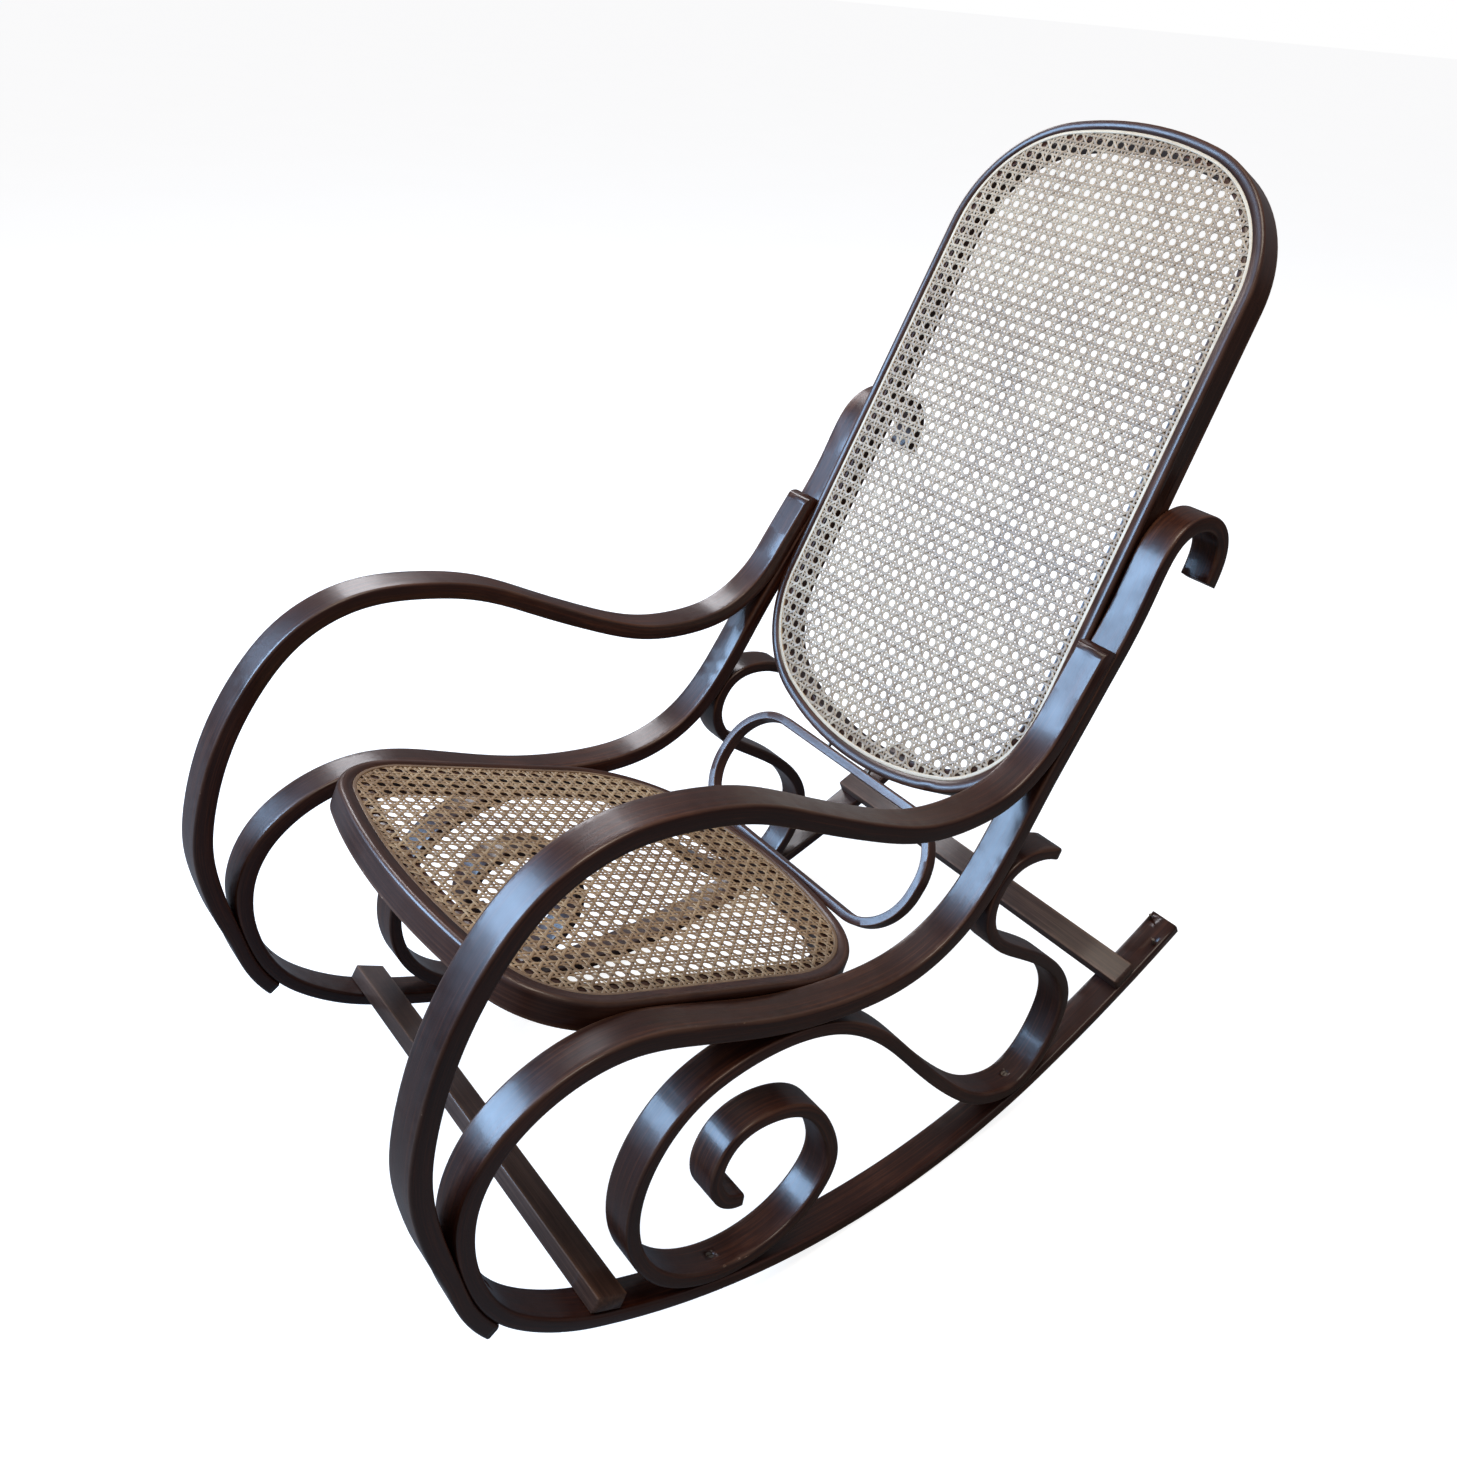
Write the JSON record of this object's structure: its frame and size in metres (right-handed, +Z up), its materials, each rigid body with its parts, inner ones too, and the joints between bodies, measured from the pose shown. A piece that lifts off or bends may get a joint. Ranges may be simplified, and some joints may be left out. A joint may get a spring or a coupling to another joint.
{
  "type": "rocking chair",
  "caption": "Bentwood rocking chair with scrolled side frames on curved runners, a woven cane seat, a tall arched cane back and an open lumbar ring.",
  "frame": {"origin": "on the floor under the runners, at the middle of the chair's width and length", "axes": "+Z up, -Y the way the sitter faces, +X towards the sitter's left"},
  "size_m": [0.525, 1.0265, 1.0465],
  "materials": {
    "dark_wood": "satin",
    "cane": "matte",
    "screw_steel": "satin"
  },
  "bodies": {
    "root": {"arm_left": "dark_wood", "arm_right": "dark_wood", "arm_toe_screws": "screw_steel", "arm_top_screws": "screw_steel", "back_cane": "cane", "back_frame": "dark_wood", "back_screws": "screw_steel", "back_spline": "cane", "front_stretcher": "dark_wood", "lumbar_bottom_screws": "screw_steel", "lumbar_ring": "dark_wood", "lumbar_top_screws": "screw_steel", "rear_stretcher": "dark_wood", "rocker_left": "dark_wood", "rocker_right": "dark_wood", "runner_tacks": "screw_steel", "scroll_left": "dark_wood", "scroll_post_screws": "screw_steel", "scroll_rail_screws": "screw_steel", "scroll_right": "dark_wood", "scroll_runner_screws": "screw_steel", "seat_cane": "cane", "seat_frame": "dark_wood", "seat_screws": "screw_steel", "seat_spline": "cane", "stretcher_screws": "screw_steel"}
  },
  "joints": []
}
